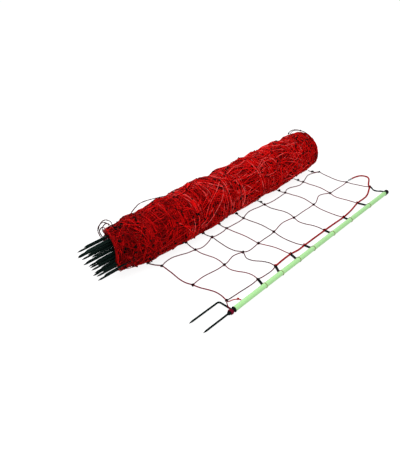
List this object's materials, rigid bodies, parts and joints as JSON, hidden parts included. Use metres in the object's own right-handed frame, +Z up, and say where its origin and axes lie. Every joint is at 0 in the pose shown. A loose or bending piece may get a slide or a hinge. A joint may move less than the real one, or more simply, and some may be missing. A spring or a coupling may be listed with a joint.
{
  "type": "electric sheep netting",
  "caption": "Electric sheep netting rolled round its posts, with the last post and the first cells of the net laid out flat on the ground.",
  "frame": {"origin": "on the ground, under the middle of everything but the two loose cord tails", "axes": "+X from the posts' spikes to their caps, +Y from the laid-out post to the roll, +Z up"},
  "size_m": [1.4521, 0.5568, 0.2119],
  "materials": {
    "netting_red": "matt red twisted twine",
    "net_twine": "matt dark red twisted twine with black knots",
    "cord_red": "matt red braided cord",
    "post_green": "smooth pale green plastic tube",
    "moulded_black": "satin black moulded plastic",
    "spike_steel": "dark satin coated steel rod",
    "band_brown": "olive brown satin wire",
    "bare_steel": "grey steel"
  },
  "bodies": {
    "root": {"netting_roll": "netting_red", "netting_spread": "net_twine", "edge_cord": "cord_red", "post_tube": "post_green", "post_cap": "moulded_black", "post_foot": "moulded_black", "post_fork": "spike_steel", "top_strap": "moulded_black", "foot_lashing": "cord_red", "corner_tail": "cord_red", "edge_tail": "cord_red", "tail_connector": "bare_steel", "clip_band_1": "band_brown", "clip_band_2": "band_brown", "clip_band_3": "band_brown", "clip_band_4": "band_brown", "clip_band_5": "band_brown", "clip_band_6": "band_brown", "clip_band_7": "band_brown", "clip_strap_1": "moulded_black", "clip_strap_2": "moulded_black", "clip_strap_3": "moulded_black", "clip_strap_4": "moulded_black", "clip_strap_5": "moulded_black", "clip_strap_6": "moulded_black", "clip_strap_7": "moulded_black", "rolled_post_01": "post_green", "rolled_post_02": "post_green", "rolled_post_03": "post_green", "rolled_post_04": "post_green", "rolled_post_05": "post_green", "rolled_post_06": "post_green", "rolled_post_07": "post_green", "rolled_post_08": "post_green", "rolled_post_09": "post_green", "rolled_post_10": "post_green", "rolled_post_11": "post_green", "rolled_post_12": "post_green", "rolled_post_13": "post_green", "rolled_fork_01": "spike_steel", "rolled_fork_02": "spike_steel", "rolled_fork_03": "spike_steel", "rolled_fork_04": "spike_steel", "rolled_fork_05": "spike_steel", "rolled_fork_06": "spike_steel", "rolled_fork_07": "spike_steel", "rolled_fork_08": "spike_steel", "rolled_fork_09": "spike_steel", "rolled_fork_10": "spike_steel", "rolled_fork_11": "spike_steel", "rolled_fork_12": "spike_steel", "rolled_fork_13": "spike_steel"}
  },
  "joints": []
}
